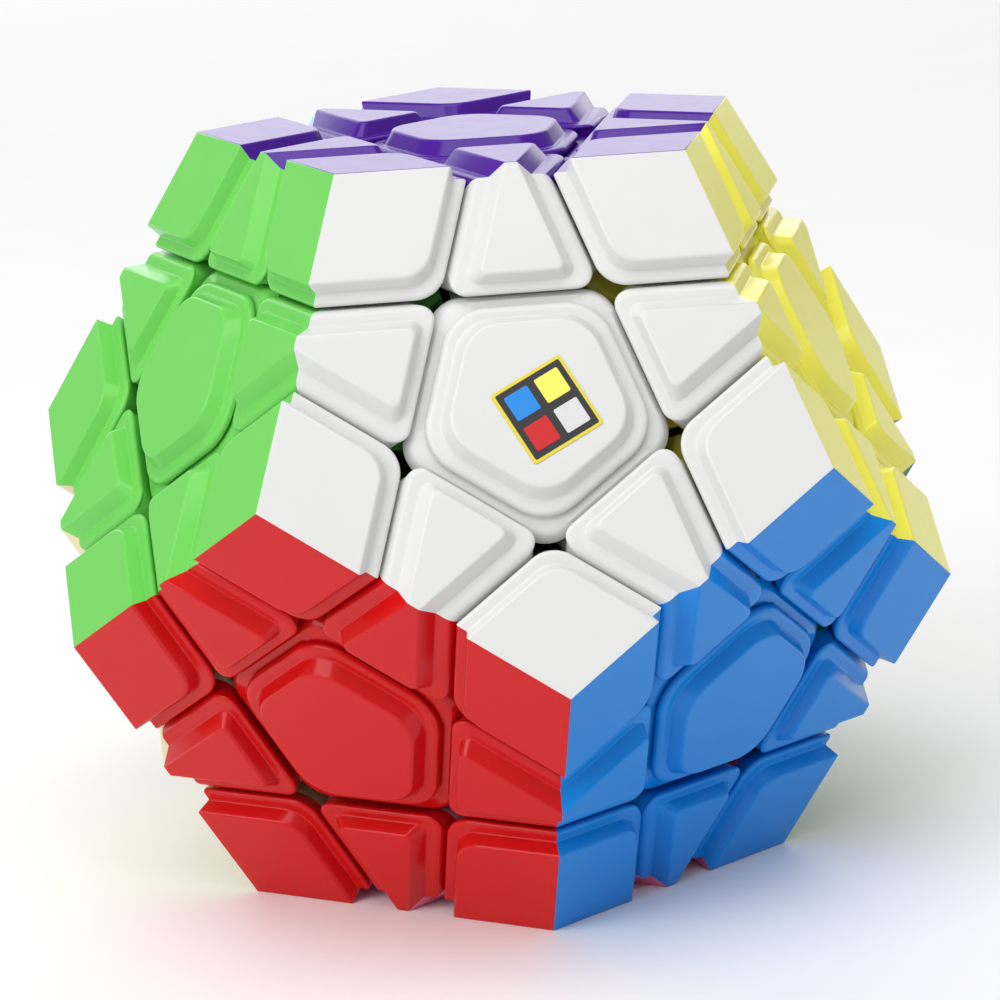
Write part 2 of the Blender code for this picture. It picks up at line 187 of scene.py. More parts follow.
class Finish:
    """A new material: constants go on its shader, and nodes are added one call at a time."""

    def __init__(self, name, **constants):
        self.material = bpy.data.materials.new(name)
        self.material.use_nodes = True
        self.tree = self.material.node_tree
        self.shader = self.tree.nodes["Principled BSDF"]
        self.feed(self.shader, {key.replace("_", " "): value for key, value in constants.items()})

    def feed(self, node, sockets):
        for key, value in sockets.items():
            if isinstance(value, Wire):
                self.tree.links.new(value.socket, node.inputs[key])
            else:
                node.inputs[key].default_value = value

    def node(self, kind, settings=None, sockets=None, output=0):
        made = self.tree.nodes.new(kind)
        for key, value in (settings or {}).items():
            setattr(made, key, value)
        self.feed(made, sockets or {})
        return Wire(self, made.outputs[output])

    def noise(self, scale, detail=2.0):
        """Cloudy noise from 0 to 1, with about scale clouds to a metre."""
        place = self.node("ShaderNodeTexCoord", output=3)
        return self.node("ShaderNodeTexNoise", {}, {"Vector": place, "Scale": scale, "Detail": detail})

    def mixed(self, share, first, second):
        """A colour between two others; inputs 6 and 7 and output 2 are the node's colours."""
        colours = {"Factor": share, 6: (*first, 1), 7: (*second, 1)}
        return self.node("ShaderNodeMix", {"data_type": "RGBA"}, colours, output=2)

    def bumped(self, height, depth):
        """A surface normal that follows height, where 1 stands depth metres proud."""
        return self.node("ShaderNodeBump", {}, {"Height": height, "Distance": depth, "Strength": 1.0})


def black_nylon():
    """Unpainted nylon from a spark-eroded mould: dull, with a fine even grain."""
    finish = Finish("black_nylon")
    grain = finish.noise(2600, 3)
    flow = finish.noise(160)
    finish.feed(
        finish.shader,
        {
            "Base Color": finish.mixed(flow, (0.012, 0.012, 0.013), (0.026, 0.026, 0.027)),
            "Roughness": 0.38 + grain * 0.2,
            "Normal": finish.bumped(grain, 0.012 * MM),
        },
    )
    return finish.material


BLACK = black_nylon()


def piece(name, shape, turn, materials, body, slot, *stands_for):
    """A piece in its place round the middle, riding on a body and standing for CAD nodes."""
    mesh = shape.copy()
    mesh.transform(Matrix.Translation(MIDDLE) @ turn.to_4x4())
    for material in materials:
        mesh.materials.append(material)
    made = bpy.data.objects.new(name, mesh)
    bpy.context.scene.collection.objects.link(made)
    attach(made, body)
    if stands_for:
        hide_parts(*stands_for)
    return made


BALL = 9.0 * MM
POST, POST_ROOT, POST_END = 2.6 * MM, 3.5 * MM, 19.5 * MM
POST_FLARE = 2.0 * MM  # height over which the post widens to its root
POST_BORE, BORE_FLOOR = 1.25 * MM, 11.0 * MM
POST_SIDES = 24
PINHOLE = 0.02 * MM  # radius at which a turned shape closes on its axis


def core_post(turn):
    """One hollow post: flared at its root, with a small chamfer at its mouth."""
    chamfer = 0.3 * MM
    profile = [
        (PINHOLE, BORE_FLOOR),
        (POST_BORE, BORE_FLOOR),
        (POST_BORE, POST_END - chamfer),
        (POST_BORE + chamfer, POST_END),
        (POST - chamfer, POST_END),
        (POST, POST_END - chamfer),
        (POST, BALL + POST_FLARE),
        (POST_ROOT, BALL),
        (POST_ROOT, BALL - POST_FLARE),
    ]
    bm = bmesh.new()
    loft(bm, [circle(radius, height, POST_SIDES) for radius, height in profile])
    half_step = Matrix.Rotation(pi / POST_SIDES, 3, "Z")
    bm.transform((turn @ half_step).to_4x4())
    return bm


ball = bmesh.new()
bmesh.ops.create_icosphere(ball, subdivisions=4, radius=BALL)
posts = [core_post(facing(AXES[face], AXES[neighbours(face)[0]])) for face in FACES]
core = united(ball, posts, "core")
piece("core", core, Matrix.Identity(3), [BLACK], ROOT, "plastic_black", "core_with_screws")


# ---------------------------------------------------------------- screws
# Twelve zinc-plated pan-head screws with a cross recess, one driven into each post of the core.
# The centre turns under the screw's head, so the screw itself stays with the core.

HEAD, HEAD_BOTTOM, HEAD_TOP = 3.4 * MM, 28.7 * MM, 29.9 * MM
SHANK, THREAD_DEPTH, PITCH = 1.2 * MM, 0.22 * MM, 0.5 * MM
SCREW_END, POINT = 12.0 * MM, 0.8 * MM
RECESS, RECESS_WIDTH, RECESS_DEPTH = 1.3 * MM, 0.5 * MM, 0.7 * MM


def screw_mesh():
    """A screw, turned from its domed head down to its point, with the cross cut into the head."""
    profile = [
        (PINHOLE, HEAD_TOP),
        (HEAD * 0.55, HEAD_TOP - 0.04 * MM),
        (HEAD * 0.85, HEAD_TOP - 0.22 * MM),
        (HEAD * 0.97, HEAD_TOP - 0.5 * MM),
        (HEAD, HEAD_TOP - 0.8 * MM),
        (HEAD, HEAD_BOTTOM),
        (SHANK, HEAD_BOTTOM),
        (SHANK, POST_END),
    ]
    for i in range(int((POST_END - SCREW_END) / PITCH)):
        crest = POST_END - i * PITCH
        profile += [(SHANK, crest - PITCH * 0.2), (SHANK - THREAD_DEPTH, crest - PITCH * 0.6)]
    profile.append((PINHOLE, SCREW_END - POINT))
    bm = bmesh.new()
    loft(bm, [circle(radius, height, 28) for radius, height in profile])
    cross = []
    for turn in (0, pi / 2):
        slot = bmesh.new()
        bmesh.ops.create_cube(slot, size=1)
        slot.transform(
            Matrix.Translation((0, 0, HEAD_TOP))
            @ Matrix.Rotation(turn, 4, "Z")
            @ Matrix.Diagonal((2 * RECESS, RECESS_WIDTH, 2 * RECESS_DEPTH, 1))
        )
        cross.append(slot)
    return united(bm, cross, "screw", "DIFFERENCE")


def plated_steel(name, colour, roughness):
    """Bright zinc plate or drawn wire: metal with faint drawing marks."""
    finish = Finish(name, Metallic=1.0)
    marks = finish.noise(900, 3)
    finish.feed(
        finish.shader,
        {
            "Base Color": finish.mixed(marks, colour, [0.8 * c for c in colour]),
            "Roughness": roughness + marks * 0.15,
        },
    )
    return finish.material


ZINC = plated_steel("zinc_plate", (0.62, 0.63, 0.66), 0.22)
SCREW = screw_mesh()
for face in FACES:
    turn = facing(AXES[face], AXES[neighbours(face)[0]])
    piece("screw_" + face, SCREW, turn, [ZINC], ROOT, "spring_steel", "core_with_screws")


# ---------------------------------------------------------------- springs
# A short compression spring sits under each screw's head and presses its centre inwards.
# Drawn steel wire, coiled, with the last half turn at each end laid flat.

SPRING, WIRE = 2.8 * MM, 0.3 * MM
SPRING_BOTTOM, SPRING_TOP, SPRING_TURNS = 25.8 * MM, 28.3 * MM, 4


def spring_mesh():
    """Wire coiled downwards round the axis; half a turn at each end stays level."""
    steps = SPRING_TURNS * 28
    flat_end = 1 / SPRING_TURNS
    section = circle(WIRE, 0, 10)
    rings = []
    for i in range(steps + 1):
        along = i / steps
        turn = 2 * pi * SPRING_TURNS * along
        drop = min(max((along - flat_end / 2) / (1 - flat_end), 0), 1)
        outward = Vector((cos(turn), sin(turn), 0))
        spot = outward * SPRING + UP * (SPRING_TOP + (SPRING_BOTTOM - SPRING_TOP) * drop)
        rings.append([spot + outward * point.x + UP * point.y for point in section])
    bm = bmesh.new()
    loft(bm, rings)
    return finished(bm, "spring", 60)


WIRE_STEEL = plated_steel("spring_wire", (0.55, 0.55, 0.56), 0.28)
SPRING_MESH = spring_mesh()


def body_of(faces):
    """The body that a piece with tiles on these faces moves with."""
    for face in faces:
        if face + "_layer" in frame["bodies"]:
            return face + "_layer"
    return ROOT


def turning(face):
    """Whether a face's layer has a joint of its own."""
    return body_of((face,)) != ROOT


for face in FACES:
    turn = facing(AXES[face], AXES[neighbours(face)[0]])
    nodes = ["spring_" + face] if turning(face) else []
    piece("spring_" + face, SPRING_MESH, turn, [WIRE_STEEL], body_of((face,)), "spring_steel", *nodes)


# ---------------------------------------------------------------- centre cups
# Under every centre cap is a cup: a round stem with the bore for spring and screw, and a five-sided
# skirt that fills the gap between the five edges. It is moulded in its own face's colour.

CUT = 22.65 * MM  # distance of each cutting plane from the middle
CLEAR = 0.15 * MM * sqrt(1.25)  # half the gap between two pieces, measured along a face
CUT_LINE = (CUT - FACE * cos(SLANT)) / sin(SLANT)  # from a face's middle to the cutting plane's line on it
LEAN = cos(SLANT) / sin(SLANT)  # how far that line moves out as it goes down into the face
CENTRE_CORNER = 3.2 * MM
STEM, STEM_BOTTOM = 6.6 * MM, 24.2 * MM
SKIRT_BOTTOM, SKIRT_TOP = 29.95 * MM, 31.2 * MM
CUP_BORE, CUP_FLOOR, SCREW_HOLE = 4.1 * MM, 25.4 * MM, 1.6 * MM
FIFTH = 2 * pi / 5


def meet(first, second):
    """Where two side lines cross; a line is (direction that it faces, distance from the middle)."""
    (turn_a, a), (turn_b, b) = first, second
    spread = sin(turn_b - turn_a)
    return Vector(
        ((a * sin(turn_b) - b * sin(turn_a)) / spread, (b * cos(turn_a) - a * cos(turn_b)) / spread)
    )


def rounded(first, second, radius, count):
    """Points on the arc that rounds the corner between two side lines."""
    (turn_a, a), (turn_b, b) = first, second
    pivot = meet((turn_a, a - radius), (turn_b, b - radius))
    turns = [turn_a + (turn_b - turn_a) * i / count for i in range(count + 1)]
    return [pivot + Vector((cos(turn), sin(turn))) * radius for turn in turns]


def round_cornered(distance, corner, height, count=10, sides=5, start=0.0):
    """A regular figure with round corners at one height, as a ring of points."""
    lines = [(start + 2 * pi / sides * i, distance) for i in range(sides + 1)]
    flat = [point for pair in zip(lines, lines[1:]) for point in rounded(*pair, corner, count)]
    return [Vector((point.x, point.y, height)) for point in flat]


def ring_like(ring, radius, height):
    """A circle with as many points as a ring, each in the same direction from the axis."""
    return [Vector((point.x, point.y, 0)).normalized() * radius + UP * height for point in ring]


def cup_mesh():
    """A cup as one closed profile: in along the skirt's top, round the stem, and up inside the bore."""
    chamfer = 0.25 * MM

    def skirt(height, inset=0.0):
        return round_cornered(CUT_LINE + LEAN * (FACE - height) - CLEAR - inset, CENTRE_CORNER, height)

    model = skirt(SKIRT_TOP)
    rings = [
        ring_like(model, CUP_BORE + chamfer, SKIRT_TOP),
        skirt(SKIRT_TOP, chamfer),
        skirt(SKIRT_TOP - chamfer),
        skirt(SKIRT_BOTTOM + chamfer),
        skirt(SKIRT_BOTTOM, chamfer),
        ring_like(model, STEM + chamfer, SKIRT_BOTTOM),
        ring_like(model, STEM, SKIRT_BOTTOM - chamfer),
        ring_like(model, STEM, STEM_BOTTOM + 2 * chamfer),
        ring_like(model, STEM - 2 * chamfer, STEM_BOTTOM),
        ring_like(model, SCREW_HOLE, STEM_BOTTOM),
        ring_like(model, SCREW_HOLE, CUP_FLOOR),
        ring_like(model, CUP_BORE, CUP_FLOOR),
        ring_like(model, CUP_BORE, SKIRT_TOP - chamfer),
    ]
    bm = bmesh.new()
    loft(bm, [*rings, rings[0]], closed=False)
    bmesh.ops.remove_doubles(bm, verts=bm.verts, dist=0.001 * MM)
    return finished(bm, "centre_cup")


# Each colour is dyed right through the plastic: (colour, a slightly deeper cast of it).
DYES = {
    "purple": ((0.075, 0.009, 0.32), (0.066, 0.007, 0.28)),
    "white": ((0.70, 0.705, 0.70), (0.69, 0.69, 0.675)),
    "yellow": ((0.90, 0.86, 0.12), (0.88, 0.83, 0.10)),
    "orange": ((0.88, 0.22, 0.02), (0.84, 0.19, 0.015)),
    "sky": ((0.30, 0.64, 0.84), (0.27, 0.61, 0.81)),
    "green": ((0.165, 0.61, 0.11), (0.15, 0.58, 0.09)),
    "blue": ((0.004, 0.245, 0.74), (0.003, 0.225, 0.70)),
    "dark_green": ((0.004, 0.20, 0.045), (0.003, 0.175, 0.038)),
    "grey": ((0.23, 0.24, 0.26), (0.20, 0.21, 0.23)),
    "cream": ((0.80, 0.73, 0.47), (0.78, 0.70, 0.43)),
    "red": ((0.60, 0.006, 0.007), (0.56, 0.004, 0.005)),
    "pink": ((0.84, 0.22, 0.38), (0.81, 0.19, 0.34)),
}


def dyed_plastic(face):
    """Glossy moulded plastic: faint flow clouds in the dye, and a skin that is very slightly uneven."""
    finish = Finish("plastic_" + face, IOR=1.45, Specular_IOR_Level=0.35)
    clouds = finish.noise(140)
    skin = finish.noise(420)
    grain = finish.noise(5200, 3)
    finish.feed(
        finish.shader,
        {
            "Base Color": finish.mixed(clouds, *DYES[face]),
            "Roughness": 0.15 + skin * 0.07 + grain * 0.03,
            "Normal": finish.bumped(skin + grain * 0.15, 0.004 * MM),
        },
    )
    return finish.material


PLASTIC = {face: dyed_plastic(face) for face in FACES}
CUP_MESH = cup_mesh()


def centre_node(face, part):
    """The CAD node that a part of a centre stands for."""
    return f"centre_{part}_{face}" if turning(face) else "centre_" + face


for face in FACES:
    turn = facing(AXES[face], AXES[neighbours(face)[0]])
    piece("centre_cup_" + face, CUP_MESH, turn, [PLASTIC[face]], body_of((face,)), "plastic_" + face,
          centre_node(face, "cup"))


# ---------------------------------------------------------------- centre caps
# The cap is the centre's visible tile. A raised, round-cornered pentagon stands on a ledge, whose rim
# rolls over into the side wall; a boss under it snaps into the mouth of the cup.

STEP = 1.3 * MM  # from the raised top down to the ledge
BROW, HOLLOW = 0.32 * MM, 0.16 * MM  # rounding at the top and at the foot of the slope between them
RIM = 0.48 * MM  # depth that the ledge's rolled rim takes
HAIR = 0.04 * MM  # narrow border that keeps a flat stretch flat up to its rounded edge
CAP_TOP, CAP_RUN = 1.85 * MM, 0.70 * MM
CAP_CORNERS = (3.6 * MM, 3.6 * MM, 4.2 * MM)  # of the raised top, of its slope's foot, and of the rim
CAP_LEAN = 0.2  # a cap's side wall stands nearly upright, on the flared skirt of the cup
CAP_INSET = 0.2 * MM  # and it stands this much further in
CAP_BOTTOM, BOSS, BOSS_BOTTOM = 31.5 * MM, 3.7 * MM, 30.4 * MM


def slope(depth, top, run):
    """How far inside the cutting line the slope lies at some depth, below the raised top."""
    tilt = atan2(STEP, run)
    brow = top + BROW * tan(tilt / 2)
    foot = top - run - HOLLOW * tan(tilt / 2)
    if depth < BROW * (1 - cos(tilt)):
        return brow - sqrt(BROW**2 - (BROW - depth) ** 2)
    if depth > STEP - HOLLOW * (1 - cos(tilt)):
        return foot + sqrt(HOLLOW**2 - (depth - STEP + HOLLOW) ** 2)
    return top - depth * run / STEP


def rim_radius(lean):
    return RIM / (1 - cos(pi / 2 + atan(lean)))


def wall(depth, lean):
    """The same for the rolled rim and the side wall, which leans in (lean > 0) or out as it goes down."""
    radius = rim_radius(lean)
    pivot = lean * (STEP + radius) + CLEAR + radius * sqrt(1 + lean**2)
    if depth < STEP + RIM:
        return pivot - sqrt(max(radius**2 - (radius - depth + STEP) ** 2, 0))
    return lean * depth + CLEAR


RIDGE = 0.25 * MM  # rounding over a ridge between two tiles
TO_EDGE = SLANT / 2
SLOPE_TILT = radians(67)
RIM_TURN = pi / 2 + atan(LEAN)
SLOPE_DEPTHS = sorted(
    [RIDGE * (1 - cos(TO_EDGE * i / 3)) for i in range(1, 4)]
    + [BROW * (1 - cos(SLOPE_TILT * i / 6)) for i in range(7)]
    + [BROW * (1 - cos(SLOPE_TILT)) + HAIR, STEP - HOLLOW * (1 - cos(SLOPE_TILT)) - HAIR]
    + [STEP - HOLLOW * (1 - cos(SLOPE_TILT * i / 4)) for i in range(5)]
)
RIM_DEPTHS = [STEP + rim_radius(LEAN) * (1 - cos(RIM_TURN * i / 8)) for i in range(9)]


def profile_steps(*wall_depths):
    """The steps down a tile's side: (what is there, depth, how far in from its nominal place)."""
    steps = [("slope", 0.0, HAIR)]
    steps += [("slope", depth, 0.0) for depth in SLOPE_DEPTHS]
    steps += [("slope", STEP, -HAIR), ("wall", STEP, HAIR)]
    steps += [("wall", depth, 0.0) for depth in [*RIM_DEPTHS, STEP + RIM + HAIR, *wall_depths]]
    return steps


def inset_at(step, lean, top, run):
    """How far inside the cutting line a tile's side lies at one step."""
    what, depth, further = step
    return further + (slope(depth, top, run) if what == "slope" else wall(depth, lean))


def blended(step, *radii):
    """A corner radius that changes from the raised top to the slope's foot and on to the rim."""
    what, depth, _ = step
    top, foot, outer = radii
    if what == "slope":
        return top + (foot - top) * depth / STEP
    return foot + (outer - foot) * min((depth - STEP) / RIM, 1)


def cap_mesh():
    rings = []
    chamfer = 0.06 * MM
    for step in profile_steps(FACE - CAP_BOTTOM - chamfer):
        inset = inset_at(step, -CAP_LEAN, CAP_TOP - CAP_INSET, CAP_RUN) + CAP_INSET
        rings.append(round_cornered(CUT_LINE - inset, blended(step, *CAP_CORNERS), FACE - step[1], 14))
    inset = wall(FACE - CAP_BOTTOM, -CAP_LEAN) + CAP_INSET + chamfer
    rings.append(round_cornered(CUT_LINE - inset, CAP_CORNERS[2], CAP_BOTTOM, 14))
    rings.append(ring_like(rings[0], BOSS, CAP_BOTTOM))
    rings.append(ring_like(rings[0], BOSS, BOSS_BOTTOM + 3 * chamfer))
    rings.append(ring_like(rings[0], BOSS - 3 * chamfer, BOSS_BOTTOM))
    bm = bmesh.new()
    loft(bm, rings)
    return finished(bm, "centre_cap")


CAP_MESH = cap_mesh()
for face in FACES:
    turn = facing(AXES[face], AXES[neighbours(face)[0]])
    piece("centre_cap_" + face, CAP_MESH, turn, [PLASTIC[face]], body_of((face,)), "plastic_" + face,
          centre_node(face, "cap"))


# ---------------------------------------------------------------- edges
# An edge is two coloured shells that meet on the dodecahedron's edge, snapped over a moulded foot that
# reaches under both centres. Each shell carries a raised triangle that narrows towards the ridge.

SHELL, SHELL_CLEAR = 30.5 * MM, 0.2 * MM  # sphere between the outer blocks and the feet
SEAM = 3.2 * MM  # depth at which a shell ends and the foot's own plastic begins
FOOT_BOTTOM = 24.2 * MM
EDGE_SIDE = (1.75 * MM, 1.0 * MM)  # the raised triangle's side slopes: inset of the top, and run
EDGE_BASE = (2.4 * MM, 0.45 * MM)  # the same for the slope along the triangle's base
EDGE_CORNERS = (0.6 * MM, 0.9 * MM, 1.6 * MM)  # radii at the top, at the slope's foot and at the rim
NECK = 4.8 * MM
FOOT_CONE = radians(47)  # half angle of the cones that part the feet of two layers
FOOT_INSET, FOOT_OUTSET = radians(1.4), radians(0.4)  # how far a foot stays inside or outside them
FOOT_TAPER = radians(15.6)  # lean of the foot's four slanted sides


def ridge_at(step):
    """How far from the face's middle the tile ends at a ridge."""
    what, depth, further = step
    if what == "slope" and depth < RIDGE * (1 - cos(TO_EDGE)) - 1e-9:
        return (FACE - RIDGE) * tan(TO_EDGE) + sqrt(RIDGE**2 - (RIDGE - depth) ** 2) - further
    return (FACE - depth) * tan(TO_EDGE)


def edge_outline(step):
    """One step of an edge's tile, from ridge to ridge; the ridge faces local direction 0."""
    ridge = ridge_at(step)
    side = CUT_LINE - inset_at(step, -LEAN, *EDGE_SIDE)
    base = -CUT_LINE - inset_at(step, LEAN, *EDGE_BASE)
    radius = blended(step, *EDGE_CORNERS)
    left, back, right = (FIFTH, side), (pi, base), (2 * pi - FIFTH, side)
    arcs = rounded(left, back, radius, 8) + rounded(back, right, radius, 8)
    return [meet((0, ridge), left), *arcs, meet(right, (2 * pi, ridge))], []


def tile(bm, outline, across, upright, slot, body_slot):
    """Adds one tile to bm. Across is the piece's own direction from the face's middle to the ridge, and
    upright is the face's axis; the tile is left open along its ridges, where the next one joins it."""
    turn = Matrix((across, upright.cross(across), upright)).transposed()

    def lifted(points, depth):
        return [turn @ Vector((point.x, point.y, FACE - depth)) for point in points]

    steps = profile_steps(SEAM, SEAM + MM)
    rows = []
    for step in steps:
        points, ends = outline(step)
        rows.append((lifted(points, step[1]), lifted(ends, step[1])))
    seam, lower = rows[-2][0], rows[-1][0]
    block_bottom = SHELL + SHELL_CLEAR
    bottom = [a + (b - a) * ((block_bottom - a.z) / (b.z - a.z)) for a, b in zip(seam, lower)]
    rows[-1] = (bottom, [])
    made = [[bm.verts.new(point) for point in sum(row, [])] for row in rows]
    side_count = len(rows[0][0])
    lip = RIDGE * (1 - cos(TO_EDGE)) + 1e-9
    for k, (upper, lower) in enumerate(zip(made, made[1:])):
        round_ridge = steps[k + 1][0] == "slope" and steps[k + 1][1] <= lip
        for i in range(len(upper) if round_ridge else side_count - 1):
            j = (i + 1) % len(upper)
            new = bm.faces.new((upper[i], lower[i], lower[j], upper[j]))
            new.material_index = body_slot if k == len(made) - 2 else slot
    bm.faces.new(made[0]).material_index = slot


def closed_block(bm, body_slot):
    """Welds the tiles of one piece together, drops unused points and closes the underside."""
    bmesh.ops.remove_doubles(bm, verts=bm.verts, dist=0.002 * MM)
    bmesh.ops.delete(bm, geom=[v for v in bm.verts if not v.link_faces], context="VERTS")
    open_edges = [e for e in bm.edges if len(e.link_faces) == 1]
    for new in bmesh.ops.holes_fill(bm, edges=open_edges, sides=0)["faces"]:
        new.material_index = body_slot
    return bm


def beyond(axis, angle):
    """Normal of the limit, through the middle, that keeps what lies within angle of axis."""
    across = (UP - axis * axis.dot(UP)).normalized()
    return across * cos(angle) - axis * sin(angle)


def foot(limits, neck, body_slot, count=72):
    """A foot with a domed top and flat sides through the middle, on a neck that joins it to its block."""
    dome = SHELL - SHELL_CLEAR
    slack = 0.35 * MM  # of the rounding round its rims
    turns = [2 * pi * (i + 0.5) / count for i in range(count)]
    directions = [Vector((cos(turn), sin(turn), 0)) for turn in turns]
    spread = []
    for way in directions:
        spread.append(min(-limit.z / limit.dot(way) for limit in limits if limit.dot(way) > 1e-6))

    def neck_ring(height):
        return [way * neck + UP * height for way in directions]

    def flat_ring(height, inset=0.0):
        return [way * (height * share - inset) + UP * height for way, share in zip(directions, spread)]

    def domed_ring(share):
        ring = []
        for way, reach in zip(directions, spread):
            edge = dome * sin(atan(reach)) - slack
            out = neck + (edge - neck) * share
            ring.append(way * out + UP * sqrt(dome**2 - out**2))
        return ring

    rim = []
    for way, reach in zip(directions, spread):
        height = dome * cos(atan(reach)) - slack
        rim.append(way * (height * reach) + UP * height)
    rings = [
        neck_ring(SHELL + 1.5 * MM),
        neck_ring(sqrt(dome**2 - neck**2)),
        domed_ring(0.35),
        domed_ring(0.7),
        domed_ring(1.0),
        rim,
        flat_ring(FOOT_BOTTOM + slack),
        flat_ring(FOOT_BOTTOM, slack),
    ]
    bm = bmesh.new()
    loft(bm, rings, slot=body_slot)
    return bm


def edge_mesh():
    """An edge with local Z out through the ridge, and its two tiles towards +X and -X."""
    bm = bmesh.new()
    for side in (1, -1):
        upright = Vector((side * sin(TO_EDGE), 0, cos(TO_EDGE)))
        across = Vector((-side * cos(TO_EDGE), 0, sin(TO_EDGE)))
        tile(bm, edge_outline, across, upright, 0 if side == 1 else 1, 2)
    own = [Vector((side * sin(TO_EDGE), 0, cos(TO_EDGE))) for side in (1, -1)]
    ends = [Vector((0, side * cos(TO_EDGE), sin(TO_EDGE))) for side in (1, -1)]
    limits = [beyond(axis, FOOT_CONE - FOOT_INSET) for axis in own]
    limits += [-beyond(axis, FOOT_CONE + FOOT_OUTSET) for axis in ends]
    for turn in (1, -1):
        for side in (1, -1):
            slanted = Vector((turn * 0.8, side * 0.6, 0))
            limits.append(slanted * cos(FOOT_TAPER) - UP * sin(FOOT_TAPER))
    return united(closed_block(bm, 2), [foot(limits, NECK, 2)], "edge")


def body_colour(faces):
    """The plastic that a piece's foot is moulded in: the first of its colours in the maker's order."""
    order = ["yellow", "green", "cream", "orange", "pink", "sky", "white", "dark_green", "blue", "grey",
             "red", "purple"]
    return PLASTIC[min(faces, key=order.index)]


# Edges at the back whose CAD solids are made in one with a corner next to them.
JOINED = {
    "corner_grey_cream_sky_with_edges": [{"grey", "cream"}, {"cream", "sky"}, {"grey", "sky"}],
    "corner_grey_cream_pink_with_edges": [{"grey", "pink"}, {"cream", "pink"}],
    "corner_orange_sky_grey_with_edges": [{"orange", "sky"}, {"orange", "grey"}],
    "corner_sky_green_cream_with_edges": [{"sky", "green"}, {"green", "cream"}],
}


def faces_in(node):
    """The faces that a CAD node's name lists."""
    found = set()
    for face in sorted(FACES, key=len, reverse=True):
        if face in node:
            found.add(face)
            node = node.replace(face, "")
    return found


def node_for(faces):
    """The CAD node of an edge or corner, or the joined one that holds it."""
    kind = "edge" if len(faces) == 2 else "corner"
    for node in frame["nodes"]:
        if node.startswith(kind) and faces_in(node) == set(faces):
            return node
    return next(node for node, pairs in JOINED.items() if set(faces) in pairs)


EDGE_MESH = edge_mesh()
names = list(FACES)
EDGES = [(a, b) for i, a in enumerate(names) for b in names[i + 1 :] if b in neighbours(a)]
for pair in EDGES:
    turn = facing((AXES[pair[0]] + AXES[pair[1]]).normalized(), AXES[pair[0]])
    colours = [PLASTIC[face] for face in pair] + [body_colour(pair)]
    piece("edge_" + "_".join(pair), EDGE_MESH, turn, colours, body_of(pair), "plastic_" + pair[0],
          node_for(pair))


# ---------------------------------------------------------------- corners
# A corner is three coloured shells round one of the dodecahedron's corners, on a foot that reaches
# under its three edges. Each shell carries a raised kite, and the kites meet on sharp ridges.

TO_CORNER = asin(2 / sqrt(3) * sin(TO_EDGE))
CORNER_SIDE = (2.6 * MM, 0.5 * MM)  # the raised kite's side slopes: inset of the top, and run
CORNER_TIPS = (2.8 * MM, 2.8 * MM, 2.9 * MM)  # radii of its tip at the top, slope's foot and rim
TIP_TAPER = 0.18  # how fast the tip's radius shrinks with depth, below the rim
CORNER_NECK = 1.7 * MM
CORNER_FOOT_CONE = FOOT_CONE - FOOT_INSET + radians(0.4)
CORNER_FOOT_TAPER = radians(12.5)


def corner_outline(step):
    """One step of a corner's tile; the dodecahedron's corner lies in local direction 0."""
    ridge = ridge_at(step)
    side = -CUT_LINE - inset_at(step, LEAN, *CORNER_SIDE)
    radius = blended(step, *CORNER_TIPS) - TIP_TAPER * max(step[1] - STEP - RIM, 0)
    half = FIFTH / 2
    near, far = (pi - half, side), (pi + half, side)
    left, right = (half, ridge), (2 * pi - half, ridge)
    points = [meet(left, near), *rounded(near, far, radius, 16), meet(far, right)]
    return points, [meet((-half, ridge), left)]


def corner_mesh():
    """A corner with local Z out through its tip, and its three tiles round it."""
    bm = bmesh.new()
    limits = []
    for i in range(3):
        third = Matrix.Rotation(2 * pi / 3 * i, 3, "Z")
        upright = third @ Vector((sin(TO_CORNER), 0, cos(TO_CORNER)))
        across = third @ Vector((-cos(TO_CORNER), 0, sin(TO_CORNER)))
        tile(bm, corner_outline, across, upright, i, 3)
        away = Vector((upright.x, upright.y, 0)).normalized()
        limits.append(beyond(upright, CORNER_FOOT_CONE))
        limits.append(away * cos(CORNER_FOOT_TAPER) - UP * sin(CORNER_FOOT_TAPER))
    return united(closed_block(bm, 3), [foot(limits, CORNER_NECK, 3)], "corner")


CORNER_MESH = corner_mesh()
for a, b in EDGES:
    for c in names[names.index(b) + 1 :]:
        if c not in neighbours(a) or c not in neighbours(b):
            continue
        faces = (a, b, c) if AXES[a].cross(AXES[b]).dot(AXES[c]) > 0 else (a, c, b)
        up = sum((AXES[face] for face in faces), Vector()).normalized()
        colours = [PLASTIC[face] for face in faces] + [body_colour(faces)]
        piece("corner_" + "_".join(faces), CORNER_MESH, facing(up, AXES[faces[0]]), colours,
              body_of(faces), "plastic_" + faces[0], node_for(faces))


# ---------------------------------------------------------------- emblem
# A small square vinyl label on the white centre, a little off the middle and askew.
# Plain figure: a dark square with a thin yellow border and four coloured squares.

LABEL, LABEL_THICK = 3.45 * MM, 0.1 * MM
LABEL_SPOT = Vector((-1.0, -0.7)) * MM  # up the face, and to the left
LABEL_TURN = radians(27)
LABEL_UP = Vector((cos(LABEL_TURN), sin(LABEL_TURN)))
LABEL_RIGHT = Vector((sin(LABEL_TURN), -cos(LABEL_TURN)))


